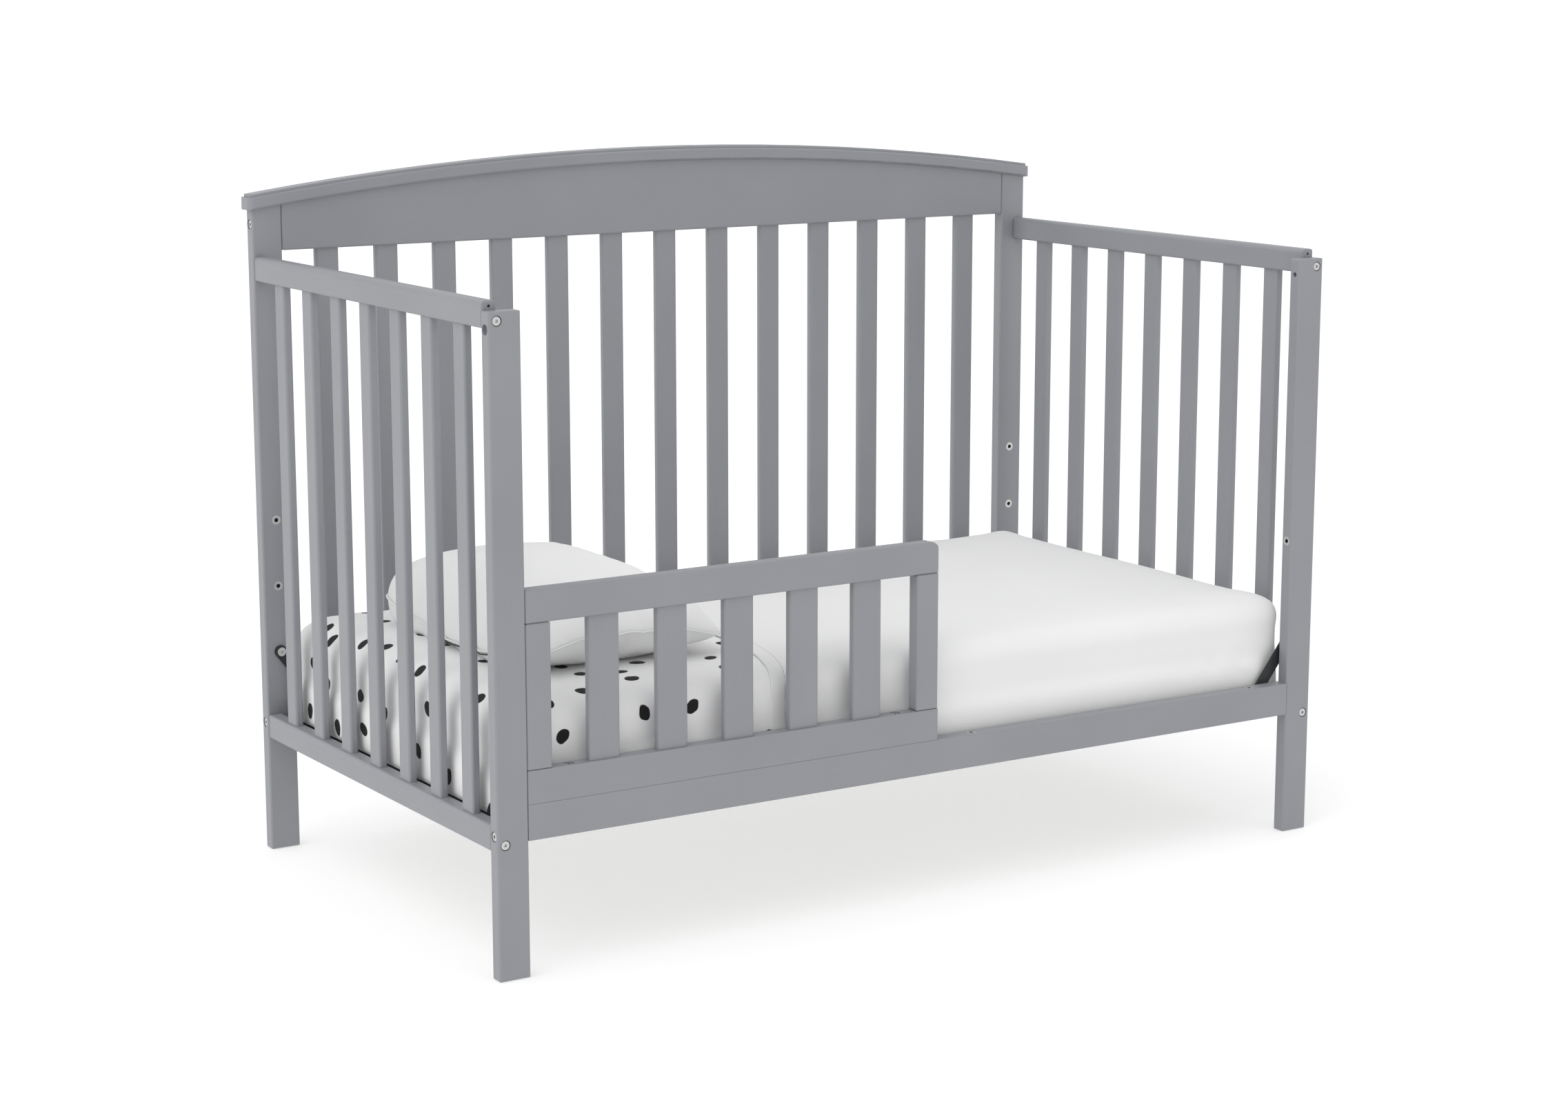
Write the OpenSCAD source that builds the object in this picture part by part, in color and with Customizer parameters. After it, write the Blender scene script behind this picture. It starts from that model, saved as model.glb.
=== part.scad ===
// Toddler bed: slatted end panels, an arched back panel, a low front rail with a half-length guardrail,
// and a mattress carried on a steel frame that hangs from the four posts.
// Millimetres, +Z up. X runs along the bed, with the head at -X. The open front faces -Y.
// The origin is on the floor, in the middle of the whole bed's footprint.

/* [Bed] */
// Length over the outer faces of the posts
bed_length = 1370; // [1100:5:1700]
// Clear width between the front and back posts
inner_width = 709.6; // [560:0.1:900]
// Height of the whole bed, at the middle of its arch
bed_height = 1013; // [840:1:1250]
// Thickness of every post, rail and panel
board_t = 21; // [18:0.5:30]
// Width of a post, seen from the front
post_w = 45; // [40:1:70]
// Eased edges of posts and rails
ease_r = 3; // [1:0.5:4]
// Eased edges of boards that lie flush against one another
flush_r = 0.8; // [0.5:0.1:2]

/* [Back panel] */
// Height of the arched panel, under the middle of the arch
panel_h = 107.5; // [85:0.5:160]
// Rise of the arch over the length of its cap
arch_rise = 49; // [20:1:70]
// Thickness of the cap rail
cap_h = 22; // [16:1:30]
// How far the cap rail stands out beyond the posts
cap_overhang = 7; // [3:1:15]
// Number of back slats
back_slats = 13;
// Width of a back slat
back_slat_w = 36; // [25:1:45]
// Gap between a post and the first back slat
back_end_gap = 53.8; // [30:0.1:70]

/* [Side panels] */
// How far the side's top lies under the top of the whole bed
side_drop = 136.5; // [100:0.5:200]
// How far the side's top stands above the front post
rail_rise = 12.5; // [5:0.5:20]
// Height of the side rails' section
side_rail_h = 35; // [28:0.5:60]
// Height of the bottom rail's lower face
side_bottom_z = 170; // [100:1:175]
// Rounding along the upper edges of the top rail
side_top_r = 7; // [3:0.5:9]
// Number of slats in each side
side_slats = 7;
// Width of a side slat
side_slat_w = 32; // [25:1:45]
// Gap between a post and the first side slat
side_end_gap = 58.3; // [30:0.1:70]
// Thickness of every slat
slat_t = 12; // [9:0.5:16]
// Rounding along the slats' edges
slat_r = 3.5; // [1:0.5:5]

/* [Front and guardrail] */
// Height of the front rail's lower face
front_rail_z = 182; // [110:1:186]
// Height of the front rail's section
front_rail_h = 47.5; // [40:0.5:80]
// Share of the open front that the guardrail covers
guard_share = 0.5; // [0.35:0.01:0.5]
// Height of the guardrail's upper face
guard_top_z = 509.5; // [460:0.5:700]
// Height of the guardrail's top rail
guard_top_h = 44; // [30:1:60]
// Height of the guardrail's bottom rail
guard_bottom_h = 44.5; // [30:0.5:60]
// Width of the guardrail's two stiles
guard_stile_w = 36; // [25:1:50]
// Number of guardrail slats
guard_slats = 5;
// Width of a guardrail slat
guard_slat_w = 46; // [30:1:60]
// Rounding of the guardrail's free upper corner
guard_corner_r = 14; // [5:1:30]

/* [Mattress support] */
// Height of the hanger screws, at the lowest of three settings
hanger_z = 298; // [250:1:330]
// Distance between two height settings
hanger_step = 97.5; // [60:0.5:120]
// Height of the support frame's top
support_top_z = 208; // [195:1:215]
// Legs of the support frame's steel angle
angle_leg = 25; // [18:1:30]
// Thickness of the steel angle
angle_t = 2; // [1.5:0.5:4]
// Width of a hanger arm
arm_w = 18; // [14:1:24]
// Thickness of a hanger arm
arm_t = 3; // [2:0.5:4]

/* [Bedding] */
// Gap between the mattress and a side rail
mattress_end_gap = 7; // [7:0.5:25]
// Gap between the mattress and the front or back
mattress_side_gap = 11.8; // [11.8:0.1:25]
// Height of the mattress
mattress_h = 142; // [100:1:150]
// Bare length of sheet between the head and the coverlet
coverlet_from_head = 438; // [400:1:600]
// Thickness of the coverlet
coverlet_t = 4; // [3:0.5:5]
// Gap between the mattress's head end and the pillow
pillow_from_head = 83; // [40:1:85]
// Pillow size along the bed
pillow_x = 310; // [220:1:310]
// Pillow size across the bed
pillow_y = 470; // [300:1:560]
// Pillow height
pillow_h = 133; // [80:1:160]

/* [Hidden] */
$fn = 48;
eps = 0.01;
// How far a cutter runs past the face that it cuts
cut_past = 1;

// Main planes
post_x = bed_length / 2;
post_in_x = post_x - post_w;
rail_inset = 1;
rail_out_x = post_x - rail_inset;
rail_in_x = rail_out_x - board_t;
rail_mid_x = rail_out_x - board_t / 2;
bed_depth = inner_width + 2 * board_t;
front_y = -(bed_depth + cap_overhang) / 2;
front_in_y = front_y + board_t;
back_in_y = front_in_y + inner_width;
back_y = back_in_y + board_t;
mid_y = (front_in_y + back_in_y) / 2;
front_mid_y = front_y + board_t / 2;
back_mid_y = back_in_y + board_t / 2;

side_top_z = bed_height - side_drop;
front_post_h = side_top_z - rail_rise;

// Arch: one centre for the underside and the top of the cap
arch_mid_z = bed_height - cap_h;
panel_bottom_z = arch_mid_z - panel_h;
cap_half = post_x + cap_overhang;
arch_r = (cap_half * cap_half + arch_rise * arch_rise) / (2 * arch_rise);
arch_centre_z = arch_mid_z - arch_r;
arch_fn = 720;
cap_foot_h = 3.5;
cap_top_h = 4;
cap_band = [cap_foot_h, cap_h - cap_foot_h - cap_top_h, cap_top_h];
cap_inset = [4, 0, 4];
cap_edge_r = [1, 2.5, 1.5];
cap_depth = board_t + 2 * cap_overhang;
cap_corner_r = 9;

// Slats and their mortises
back_slat_pitch = (2 * post_in_x - 2 * back_end_gap - back_slat_w) / (back_slats - 1);
side_slat_pitch = (inner_width - 2 * side_end_gap - side_slat_w) / (side_slats - 1);
mortise_d = 10;
mortise_gap = 0.15;
side_slat_lo = side_bottom_z + side_rail_h - mortise_d;
side_slat_hi = side_top_z - side_rail_h + mortise_d;
back_slat_lo = front_rail_z + front_rail_h - mortise_d;
back_slat_hi = panel_bottom_z + mortise_d;
guard_l = 2 * post_in_x * guard_share;
guard_x0 = -post_in_x;
guard_x1 = guard_x0 + guard_l;
guard_bottom_z = front_rail_z + front_rail_h;
guard_sill_z = guard_bottom_z + guard_bottom_h;
guard_under_z = guard_top_z - guard_top_h;
guard_slat_lo = guard_sill_z - mortise_d;
guard_slat_hi = guard_under_z + mortise_d;
guard_slat_gap = (guard_l - 2 * guard_stile_w - guard_slats * guard_slat_w) / (guard_slats + 1);

// Bolts, all of one length, with their heads sunk in counterbores
bolt_d = 6;
bolt_len = 60;
bolt_head_d = 11.6;
bolt_head_h = 4;
socket_af = 4;
socket_deep = 2.6;
sink_d = 14;
sink_deep = 5;
post_bore_d = 7;
rail_bore_d = 6.2;
bore_spare = 1;
end_bolt_drop = 24.5;
foot_bolt_rise = 11;
front_bolt_rise = 10;
spare_hole_drop = 0.5;
panel_bolt_rise = 38.5;
front_bolt_z = front_rail_z + front_bolt_rise;
spare_hole_z = side_top_z - side_rail_h - spare_hole_drop;
back_top_bolt_z = panel_bottom_z + panel_bolt_rise;
pilot_d = 4;
pilot_deep = 8;
pilot_drop = 7.5;

// Threaded inserts
insert_d = 9;
insert_len = 12;
insert_flange_d = 13.6;
insert_flange_t = 1.4;
insert_bore_d = 6.2;
insert_gap = 0.1;
hanger_x = post_x - post_w / 2;
guard_side_drop = 20.5;
guard_side_z = guard_under_z - guard_side_drop;
guard_bolt_inset = 65;

// Support frame and hangers
support_gap = 8;
support_x = rail_in_x - support_gap;
support_y0 = front_in_y + arm_t;
support_y1 = back_in_y - arm_t;
arm_drop = 103;
arm_run = 79.6;
arm_len = sqrt(arm_drop * arm_drop + arm_run * arm_run);
arm_tilt = atan2(arm_run, arm_drop);
screw_head_d = 13;
screw_head_h = 3;
rivet_d = 6;
rivet_head_d = 11;
rivet_head_h = 1.6;
arm_bore_d = 6.4;
wire_d = 4;
wire_sink = 0.05;
cross_wires = 13;
long_wires = 7;
cross_z = support_top_z - angle_t - wire_d / 2;
long_z = cross_z - wire_d - wire_sink;

// Bedding
soft_gap = 0.3;
sheet_t = 1.5;
mattress_l = 2 * (rail_in_x - mattress_end_gap);
mattress_w = inner_width - 2 * mattress_side_gap;
mattress_z = support_top_z + soft_gap;
mattress_top_z = mattress_z + mattress_h;
mattress_corner_r = 22;
mattress_edge_r = 20;
sheet_hem_z = 20;
coverlet_x = coverlet_from_head - mattress_l / 2;
pillow_off = 15.8;
pillow_mid = [pillow_from_head + (pillow_x - mattress_l) / 2, mid_y - pillow_off,
              mattress_top_z + sheet_t + soft_gap];
pillow_tip_r = 22;
pillow_seam_h = 50;
pillow_crown_share = 0.42;
pillow_base_share = 0.6;
soft_fn = 32;

paint = [0.57, 0.58, 0.60];
black_steel = [0.08, 0.09, 0.11];
zinc = [0.78, 0.78, 0.80];
ticking = [0.93, 0.93, 0.92];
linen = [0.90, 0.90, 0.91];

// ---- shapes ----

// Rectangle with rounded corners, one corner of its box at the origin
module round_rect(w, h, r) {
    translate([r, 0])
        square([w - 2 * r, h]);
    translate([0, r])
        square([w, h - 2 * r]);
    for (x = [r, w - r])
        for (y = [r, h - r])
            translate([x, y])
                circle(r);
}

// The same rectangle drawn out along one axis
module bar_x(len, w, h, r) {
    rotate([90, 0, 90])
        linear_extrude(len)
            round_rect(w, h, r);
}

module bar_y(w, len, h, r) {
    translate([0, len, 0])
        rotate([90, 0, 0])
            linear_extrude(len)
                round_rect(w, h, r);
}

module bar_z(w, d, len, r) {
    linear_extrude(len)
        round_rect(w, d, r);
}

// Board with all twelve edges eased
module board(size, r = ease_r) {
    intersection() {
        bar_x(size.x, size.y, size.z, r);
        bar_y(size.x, size.y, size.z, r);
        bar_z(size.x, size.y, size.z, r);
    }
}

// Everything above the arch's underside, from the side rails' height up
module above_arch() {
    translate([0, back_y + eps, 0])
        rotate([90, 0, 0])
            linear_extrude(board_t + 2 * eps)
                difference() {
                    translate([-cap_half, side_top_z])
                        square([2 * cap_half, bed_height - side_top_z]);
                    translate([0, arch_centre_z])
                        circle(arch_r, $fn = arch_fn);
                }
}

// Round holes and pins that start at a point and run along one axis
module rod_x(at, len, d) {
    translate(at)
        rotate([0, 90, 0])
            cylinder(d = d, h = len);
}

module rod_y(at, len, d) {
    translate(at)
        rotate([-90, 0, 0])
            cylinder(d = d, h = len);
}

// ---- slats ----

module slat(w, lo, hi, gap = 0) {
    translate([-w / 2 - gap, -slat_t / 2 - gap, lo])
        bar_z(w + 2 * gap, slat_t + 2 * gap, hi - lo, slat_r + gap);
}

function back_slat_x(i) = (i - (back_slats + 1) / 2) * back_slat_pitch;
function side_slat_y(i) = mid_y + ((side_slats + 1) / 2 - i) * side_slat_pitch;
function guard_slat_x(i) = guard_x0 + guard_stile_w + i * guard_slat_gap + (i - 0.5) * guard_slat_w;

module back_slat_shape(i, lo = back_slat_lo, hi = back_slat_hi, gap = 0) {
    translate([back_slat_x(i), back_mid_y, 0])
        slat(back_slat_w, lo, hi, gap);
}

module side_slat_shape(side, i, lo = side_slat_lo, hi = side_slat_hi, gap = 0) {
    translate([side * rail_mid_x, side_slat_y(i), 0])
        rotate([0, 0, 90])
            slat(side_slat_w, lo, hi, gap);
}

module guard_slat_shape(i, lo = guard_slat_lo, hi = guard_slat_hi, gap = 0) {
    translate([guard_slat_x(i), front_mid_y, 0])
        slat(guard_slat_w, lo, hi, gap);
}

// ---- bolts and inserts: one place each, and the holes they need ----

// side is -1 for the left end of the bed and 1 for the right
end_bolt_z = [side_top_z - end_bolt_drop, side_bottom_z + foot_bolt_rise];

// Bolt pointing along +Z, with the top of its head at the origin less the sink
module bolt() {
    difference() {
        union() {
            translate([0, 0, sink_deep - bolt_head_h])
                cylinder(d = bolt_head_d, h = bolt_head_h);
            translate([0, 0, sink_deep])
                cylinder(d = bolt_d, h = bolt_len);
        }
        translate([0, 0, sink_deep - bolt_head_h - eps])
            cylinder(d = socket_af / cos(30), h = socket_deep, $fn = 6);
    }
}

// Counterbore and clearance hole for a bolt that enters at the origin along +Z
module bolt_hole(through) {
    translate([0, 0, -eps])
        cylinder(d = sink_d, h = sink_deep + eps);
    cylinder(d = post_bore_d, h = through + eps);
}

module into_x(at, side) {
    translate(at)
        rotate([0, -side * 90, 0])
            children();
}

module into_y(at, toward) {
    translate(at)
        rotate([-toward * 90, 0, 0])
            children();
}

// Bolts through the posts into the ends of the side rails
module end_bolts_at(side, front) {
    for (z = end_bolt_z)
        into_y([side * rail_mid_x, front ? front_y : back_y, z], front ? 1 : -1)
            children();
}

// Bolts through the posts' outer sides into the ends of the front rail and the back panel
module front_bolt_at(side) {
    into_x([side * post_x, front_mid_y, front_bolt_z], side)
        children();
}

module back_bolts_at(side) {
    for (z = [back_top_bolt_z, front_bolt_z])
        into_x([side * post_x, back_mid_y, z], side)
            children();
}

// The same places, where the bolts leave the posts and enter the rails
module end_inserts_at(side, front) {
    for (z = end_bolt_z)
        into_y([side * rail_mid_x, front ? front_in_y : back_in_y, z], front ? 1 : -1)
            children();
}

module front_insert_at(side) {
    into_x([side * post_in_x, front_mid_y, front_bolt_z], side)
        children();
}

module back_inserts_at(side) {
    for (z = [back_top_bolt_z, front_bolt_z])
        into_x([side * post_in_x, back_mid_y, z], side)
            children();
}

// Bolts that hold the guardrail: two down into the front rail, one sideways into the post
module guard_down_bolts_at() {
    for (x = [guard_x0 + guard_bolt_inset, guard_x1 - guard_bolt_inset])
        translate([x, front_mid_y, guard_sill_z])
            rotate([180, 0, 0])
                children();
}

module guard_side_bolt_at() {
    into_x([guard_x0 + guard_stile_w, front_mid_y, guard_side_z], 1)
        children();
}

// Insert pointing along +Z into the wood, its flange flush with the origin
module insert() {
    difference() {
        union() {
            cylinder(d = insert_flange_d, h = insert_flange_t);
            cylinder(d = insert_d, h = insert_len);
        }
        translate([0, 0, -eps])
            cylinder(d = insert_bore_d, h = insert_len + 2 * eps);
    }
}

module insert_hole() {
    translate([0, 0, -eps])
        cylinder(d = insert_flange_d + 2 * insert_gap, h = insert_flange_t + eps);
    cylinder(d = insert_d + 2 * insert_gap, h = insert_len);
    cylinder(d = rail_bore_d, h = insert_len + bore_spare);
}

hanger_heights = [hanger_z, hanger_z + hanger_step, hanger_z + 2 * hanger_step];

module hanger_inserts_at(side, front) {
    for (z = hanger_heights)
        into_y([side * hanger_x, front ? front_in_y : back_in_y, z], front ? -1 : 1)
            children();
}

module guard_side_insert_at(side) {
    into_x([side * post_in_x, front_mid_y, guard_side_z], -side)
        children();
}

module rail_top_inserts_at() {
    for (side = [-1, 1])
        for (x = [post_in_x - guard_bolt_inset, post_in_x - guard_l + guard_bolt_inset])
            translate([side * x, front_mid_y, guard_bottom_z])
                rotate([180, 0, 0])
                    children();
}

// ---- posts ----

module front_post(side) {
    difference() {
        translate([side > 0 ? post_in_x : -post_x, front_y, 0])
            board([post_w, board_t, front_post_h]);
        end_bolts_at(side, true)
            bolt_hole(board_t);
        front_bolt_at(side)
            bolt_hole(post_w);
        into_x([side * post_x, front_mid_y, spare_hole_z], side)
            bolt_hole(post_w);
        hanger_inserts_at(side, true)
            insert_hole();
        guard_side_insert_at(side)
            end_hole(sink_deep + bolt_len - guard_stile_w);
    }
}

module front_post_left() {
    color(paint)
        front_post(-1);
}

module front_post_right() {
    color(paint)
        front_post(1);
}

module back_post(side) {
    difference() {
        translate([side > 0 ? post_in_x : -post_x, back_in_y, 0])
            board([post_w, board_t, arch_mid_z]);
        above_arch();
        end_bolts_at(side, false)
            bolt_hole(board_t);
        back_bolts_at(side)
            bolt_hole(post_w);
        hanger_inserts_at(side, false)
            insert_hole();
    }
}

module back_post_left() {
    color(paint)
        back_post(-1);
}

module back_post_right() {
    color(paint)
        back_post(1);
}

// ---- back panel ----

// Holes in a rail's end for an insert and the bolt's tip
module end_hole(past) {
    insert_hole();
    cylinder(d = rail_bore_d, h = past + bore_spare);
}

module arch_panel() {
    color(paint)
        difference() {
            translate([-post_in_x, back_in_y, panel_bottom_z])
                board([2 * post_in_x, board_t, bed_height - panel_bottom_z]);
            above_arch();
            for (i = [1:back_slats])
                back_slat_shape(i, panel_bottom_z - cut_past, back_slat_hi, mortise_gap);
            for (side = [-1, 1])
                back_inserts_at(side)
                    end_hole(sink_deep + bolt_len - post_w);
        }
}

// One band of the cap's moulding: eased along the arch, and rounded in plan at the ends
module cap_layer(k) {
    below = k == 0 ? 0 : k == 1 ? cap_band[0] : cap_band[0] + cap_band[1];
    lap = k == 0 ? 0 : cap_edge_r[k];
    inset = cap_inset[k];
    w = cap_depth - 2 * inset;
    intersection() {
        translate([0, back_mid_y, arch_centre_z])
            rotate([90, 0, 0])
                rotate_extrude($fn = arch_fn)
                    translate([arch_r + below - lap, -w / 2])
                        round_rect(cap_band[k] + lap, w, cap_edge_r[k]);
        translate([-cap_half + inset, back_mid_y - w / 2, side_top_z])
            bar_z(2 * (cap_half - inset), w, bed_height, cap_corner_r - inset);
    }
}

module cap_rail() {
    color(paint)
        for (k = [0:2])
            cap_layer(k);
}

module back_bottom_rail() {
    color(paint)
        difference() {
            translate([-post_in_x, back_in_y, front_rail_z])
                board([2 * post_in_x, board_t, front_rail_h]);
            for (i = [1:back_slats])
                back_slat_shape(i, back_slat_lo, guard_bottom_z + cut_past, mortise_gap);
            for (side = [-1, 1])
                back_inserts_at(side)
                    end_hole(sink_deep + bolt_len - post_w);
        }
}

module back_slat(i) {
    color(paint)
        back_slat_shape(i);
}

// ---- side panels ----

module side_rail_bores(side) {
    for (front = [true, false])
        end_inserts_at(side, front)
            end_hole(sink_deep + bolt_len - board_t);
}

module side_top_rail(side) {
    lo = side_top_z - side_rail_h;
    difference() {
        intersection() {
            translate([side > 0 ? rail_in_x : -rail_out_x, front_in_y, lo])
                board([board_t, inner_width, side_rail_h]);
            translate([side > 0 ? rail_in_x : -rail_out_x, front_in_y, lo - 2 * side_top_r])
                bar_y(board_t, inner_width, side_rail_h + 2 * side_top_r, side_top_r);
        }
        for (i = [1:side_slats])
            side_slat_shape(side, i, lo - cut_past, side_slat_hi, mortise_gap);
        side_rail_bores(side);
        rod_y([side * rail_mid_x, front_in_y - eps, side_top_z - pilot_drop], pilot_deep, pilot_d);
    }
}

module side_bottom_rail(side) {
    hi = side_bottom_z + side_rail_h;
    difference() {
        translate([side > 0 ? rail_in_x : -rail_out_x, front_in_y, side_bottom_z])
            board([board_t, inner_width, side_rail_h]);
        for (i = [1:side_slats])
            side_slat_shape(side, i, side_slat_lo, hi + cut_past, mortise_gap);
        side_rail_bores(side);
    }
}

module left_top_rail() {
    color(paint)
        side_top_rail(-1);
}

module left_bottom_rail() {
    color(paint)
        side_bottom_rail(-1);
}

module right_top_rail() {
    color(paint)
        side_top_rail(1);
}

module right_bottom_rail() {
    color(paint)
        side_bottom_rail(1);
}

module left_slat(i) {
    color(paint)
        side_slat_shape(-1, i);
}

module right_slat(i) {
    color(paint)
        side_slat_shape(1, i);
}

// ---- front rail and guardrail ----

module front_rail() {
    color(paint)
        difference() {
            translate([-post_in_x, front_y, front_rail_z])
                board([2 * post_in_x, board_t, front_rail_h], flush_r);
            for (side = [-1, 1])
                front_insert_at(side)
                    end_hole(sink_deep + bolt_len - post_w);
            rail_top_inserts_at()
                end_hole(sink_deep + bolt_len - guard_bottom_h);
        }
}

module guard_top_rail() {
    reach = 2 * guard_corner_r;
    color(paint)
        difference() {
            intersection() {
                translate([guard_x0, front_y, guard_under_z])
                    board([guard_l, board_t, guard_top_h]);
                translate([guard_x0 - reach, front_y, guard_under_z - reach])
                    bar_y(guard_l + reach, board_t, guard_top_h + reach, guard_corner_r);
            }
            for (i = [1:guard_slats])
                guard_slat_shape(i, guard_under_z - cut_past, guard_slat_hi, mortise_gap);
        }
}

module guard_bottom_rail() {
    color(paint)
        difference() {
            translate([guard_x0, front_y, guard_bottom_z])
                board([guard_l, board_t, guard_bottom_h], flush_r);
            for (i = [1:guard_slats])
                guard_slat_shape(i, guard_slat_lo, guard_sill_z + cut_past, mortise_gap);
            guard_down_bolts_at()
                bolt_hole(guard_bottom_h);
        }
}

module guard_stile(x) {
    translate([x, front_y, guard_sill_z])
        board([guard_stile_w, board_t, guard_under_z - guard_sill_z]);
}

module guard_left_stile() {
    color(paint)
        difference() {
            guard_stile(guard_x0);
            guard_side_bolt_at()
                bolt_hole(guard_stile_w);
        }
}

module guard_right_stile() {
    color(paint)
        guard_stile(guard_x1 - guard_stile_w);
}

module guard_slat(i) {
    color(paint)
        guard_slat_shape(i);
}

// ---- mattress support ----

module rivets_at() {
    for (side = [-1, 1])
        for (front = [true, false])
            into_y([side * (hanger_x - arm_run), front ? front_in_y : back_in_y, hanger_z - arm_drop],
                   front ? 1 : -1)
                children();
}

module support_frame() {
    depth = support_y1 - support_y0;
    color(black_steel)
        difference() {
            translate([-support_x, support_y0, support_top_z - angle_leg])
                cube([2 * support_x, depth, angle_leg]);
            translate([-support_x + angle_t, support_y0 + angle_t, support_top_z - angle_leg - cut_past])
                cube([2 * (support_x - angle_t), depth - 2 * angle_t, angle_leg - angle_t + cut_past]);
            translate([-support_x + angle_leg, support_y0 + angle_leg, support_top_z - angle_leg])
                cube([2 * (support_x - angle_leg), depth - 2 * angle_leg, angle_leg + cut_past]);
            rivets_at()
                cylinder(d = arm_bore_d, h = arm_t + angle_t + cut_past);
        }
}

module deck_cross_wires() {
    pitch = 2 * support_x / (cross_wires + 1);
    color(black_steel)
        for (i = [1:cross_wires])
            rod_y([-support_x + i * pitch, support_y0 + angle_t, cross_z],
                  support_y1 - support_y0 - 2 * angle_t, wire_d);
}

module deck_long_wires() {
    pitch = (support_y1 - support_y0) / (long_wires + 1);
    color(black_steel)
        for (i = [1:long_wires])
            rod_x([-support_x + angle_t, support_y0 + i * pitch, long_z],
                  2 * (support_x - angle_t), wire_d);
}

// Flat strap with round ends, from its screw down to its rivet
module arm_strap() {
    difference() {
        union() {
            cylinder(d = arm_w, h = arm_t);
            translate([-arm_w / 2, 0, 0])
                cube([arm_w, arm_len, arm_t]);
            translate([0, arm_len, 0])
                cylinder(d = arm_w, h = arm_t);
        }
        for (y = [0, arm_len])
            translate([0, y, -cut_past])
                cylinder(d = arm_bore_d, h = arm_t + 2 * cut_past);
    }
}

module hanger_arms() {
    color(black_steel)
        for (side = [-1, 1])
            for (y = [front_in_y + arm_t, back_in_y])
                translate([side * hanger_x, y, hanger_z])
                    rotate([0, side * arm_tilt, 0])
                        rotate([90, 180, 0])
                            arm_strap();
}

module hanger_screws() {
    color(zinc)
        for (side = [-1, 1])
            for (front = [true, false])
                into_y([side * hanger_x, front ? front_in_y + arm_t : back_in_y - arm_t, hanger_z],
                       front ? -1 : 1)
                    difference() {
                        union() {
                            translate([0, 0, -screw_head_h])
                                cylinder(d = screw_head_d, h = screw_head_h);
                            cylinder(d = bolt_d, h = arm_t + insert_len);
                        }
                        translate([0, 0, -screw_head_h - eps])
                            cylinder(d = socket_af / cos(30), h = socket_deep, $fn = 6);
                    }
}

module arm_rivets() {
    color(zinc)
        rivets_at()
            union() {
                translate([0, 0, insert_gap])
                    cylinder(d = rivet_d, h = arm_t + angle_t - insert_gap);
                translate([0, 0, arm_t + angle_t])
                    cylinder(d = rivet_head_d, h = rivet_head_h);
            }
}

// ---- shared fasteners ----

module threaded_inserts() {
    color(zinc)
        union() {
            for (side = [-1, 1]) {
                hanger_inserts_at(side, true)
                    insert();
                hanger_inserts_at(side, false)
                    insert();
                guard_side_insert_at(side)
                    insert();
                end_inserts_at(side, true)
                    insert();
                end_inserts_at(side, false)
                    insert();
                front_insert_at(side)
                    insert();
                back_inserts_at(side)
                    insert();
            }
            rail_top_inserts_at()
                insert();
        }
}

module frame_bolts() {
    color(zinc)
        union() {
            for (side = [-1, 1]) {
                end_bolts_at(side, true)
                    bolt();
                end_bolts_at(side, false)
                    bolt();
                front_bolt_at(side)
                    bolt();
                back_bolts_at(side)
                    bolt();
            }
            guard_down_bolts_at()
                bolt();
            guard_side_bolt_at()
                bolt();
        }
}

// ---- bedding ----

// Mattress-shaped block, grown outwards by a skin
module soft_block(skin) {
    l = mattress_l + 2 * skin;
    w = mattress_w + 2 * skin;
    h = mattress_h + skin;
    translate([-l / 2, mid_y - w / 2, mattress_z])
        intersection() {
            bar_x(l, w, h, mattress_edge_r);
            bar_y(l, w, h, mattress_edge_r);
            bar_z(l, w, h, mattress_corner_r);
        }
}

module mattress() {
    color(ticking)
        soft_block(0);
}

module fitted_sheet() {
    color(linen)
        intersection() {
            difference() {
                soft_block(sheet_t);
                soft_block(0);
            }
            translate([-bed_length / 2, -bed_depth / 2, mattress_z + sheet_hem_z])
                cube([bed_length, bed_depth, mattress_h]);
        }
}

module coverlet() {
    color(linen)
        intersection() {
            difference() {
                soft_block(sheet_t + coverlet_t);
                soft_block(sheet_t);
            }
            translate([coverlet_x, -bed_depth / 2, mattress_z + sheet_hem_z + sheet_t])
                cube([bed_length, bed_depth, mattress_h]);
        }
}

// Four corners at the seam's height, a full crown between them, and a flat base where it lies
module pillow() {
    base = [pillow_x, pillow_y] * pillow_base_share;
    color(linen)
        translate(pillow_mid)
            hull() {
                for (x = [-1, 1])
                    for (y = [-1, 1])
                        translate([x * (pillow_x / 2 - pillow_tip_r), y * (pillow_y / 2 - pillow_tip_r),
                                   pillow_seam_h])
                            sphere(pillow_tip_r, $fn = soft_fn);
                translate([0, 0, pillow_h / 2])
                    scale([pillow_x * pillow_crown_share, pillow_y * pillow_crown_share, pillow_h / 2])
                        sphere(1, $fn = soft_fn);
                translate([-base.x / 2, -base.y / 2, 0])
                    cube([base.x, base.y, pillow_h / 2]);
            }
}

front_post_left();
front_post_right();
back_post_left();
back_post_right();
arch_panel();
cap_rail();
back_bottom_rail();
for (i = [1:back_slats])
    back_slat(i);
left_top_rail();
left_bottom_rail();
right_top_rail();
right_bottom_rail();
for (i = [1:side_slats])
    left_slat(i);
for (i = [1:side_slats])
    right_slat(i);
front_rail();
guard_top_rail();
guard_bottom_rail();
guard_left_stile();
guard_right_stile();
for (i = [1:guard_slats])
    guard_slat(i);
support_frame();
deck_cross_wires();
deck_long_wires();
hanger_arms();
hanger_screws();
arm_rivets();
threaded_inserts();
frame_bolts();
mattress();
fitted_sheet();
coverlet();
pillow();
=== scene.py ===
"""The looks of a painted wooden toddler bed: grey lacquer, black steel, plated fasteners and cotton bedding."""

import math

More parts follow.
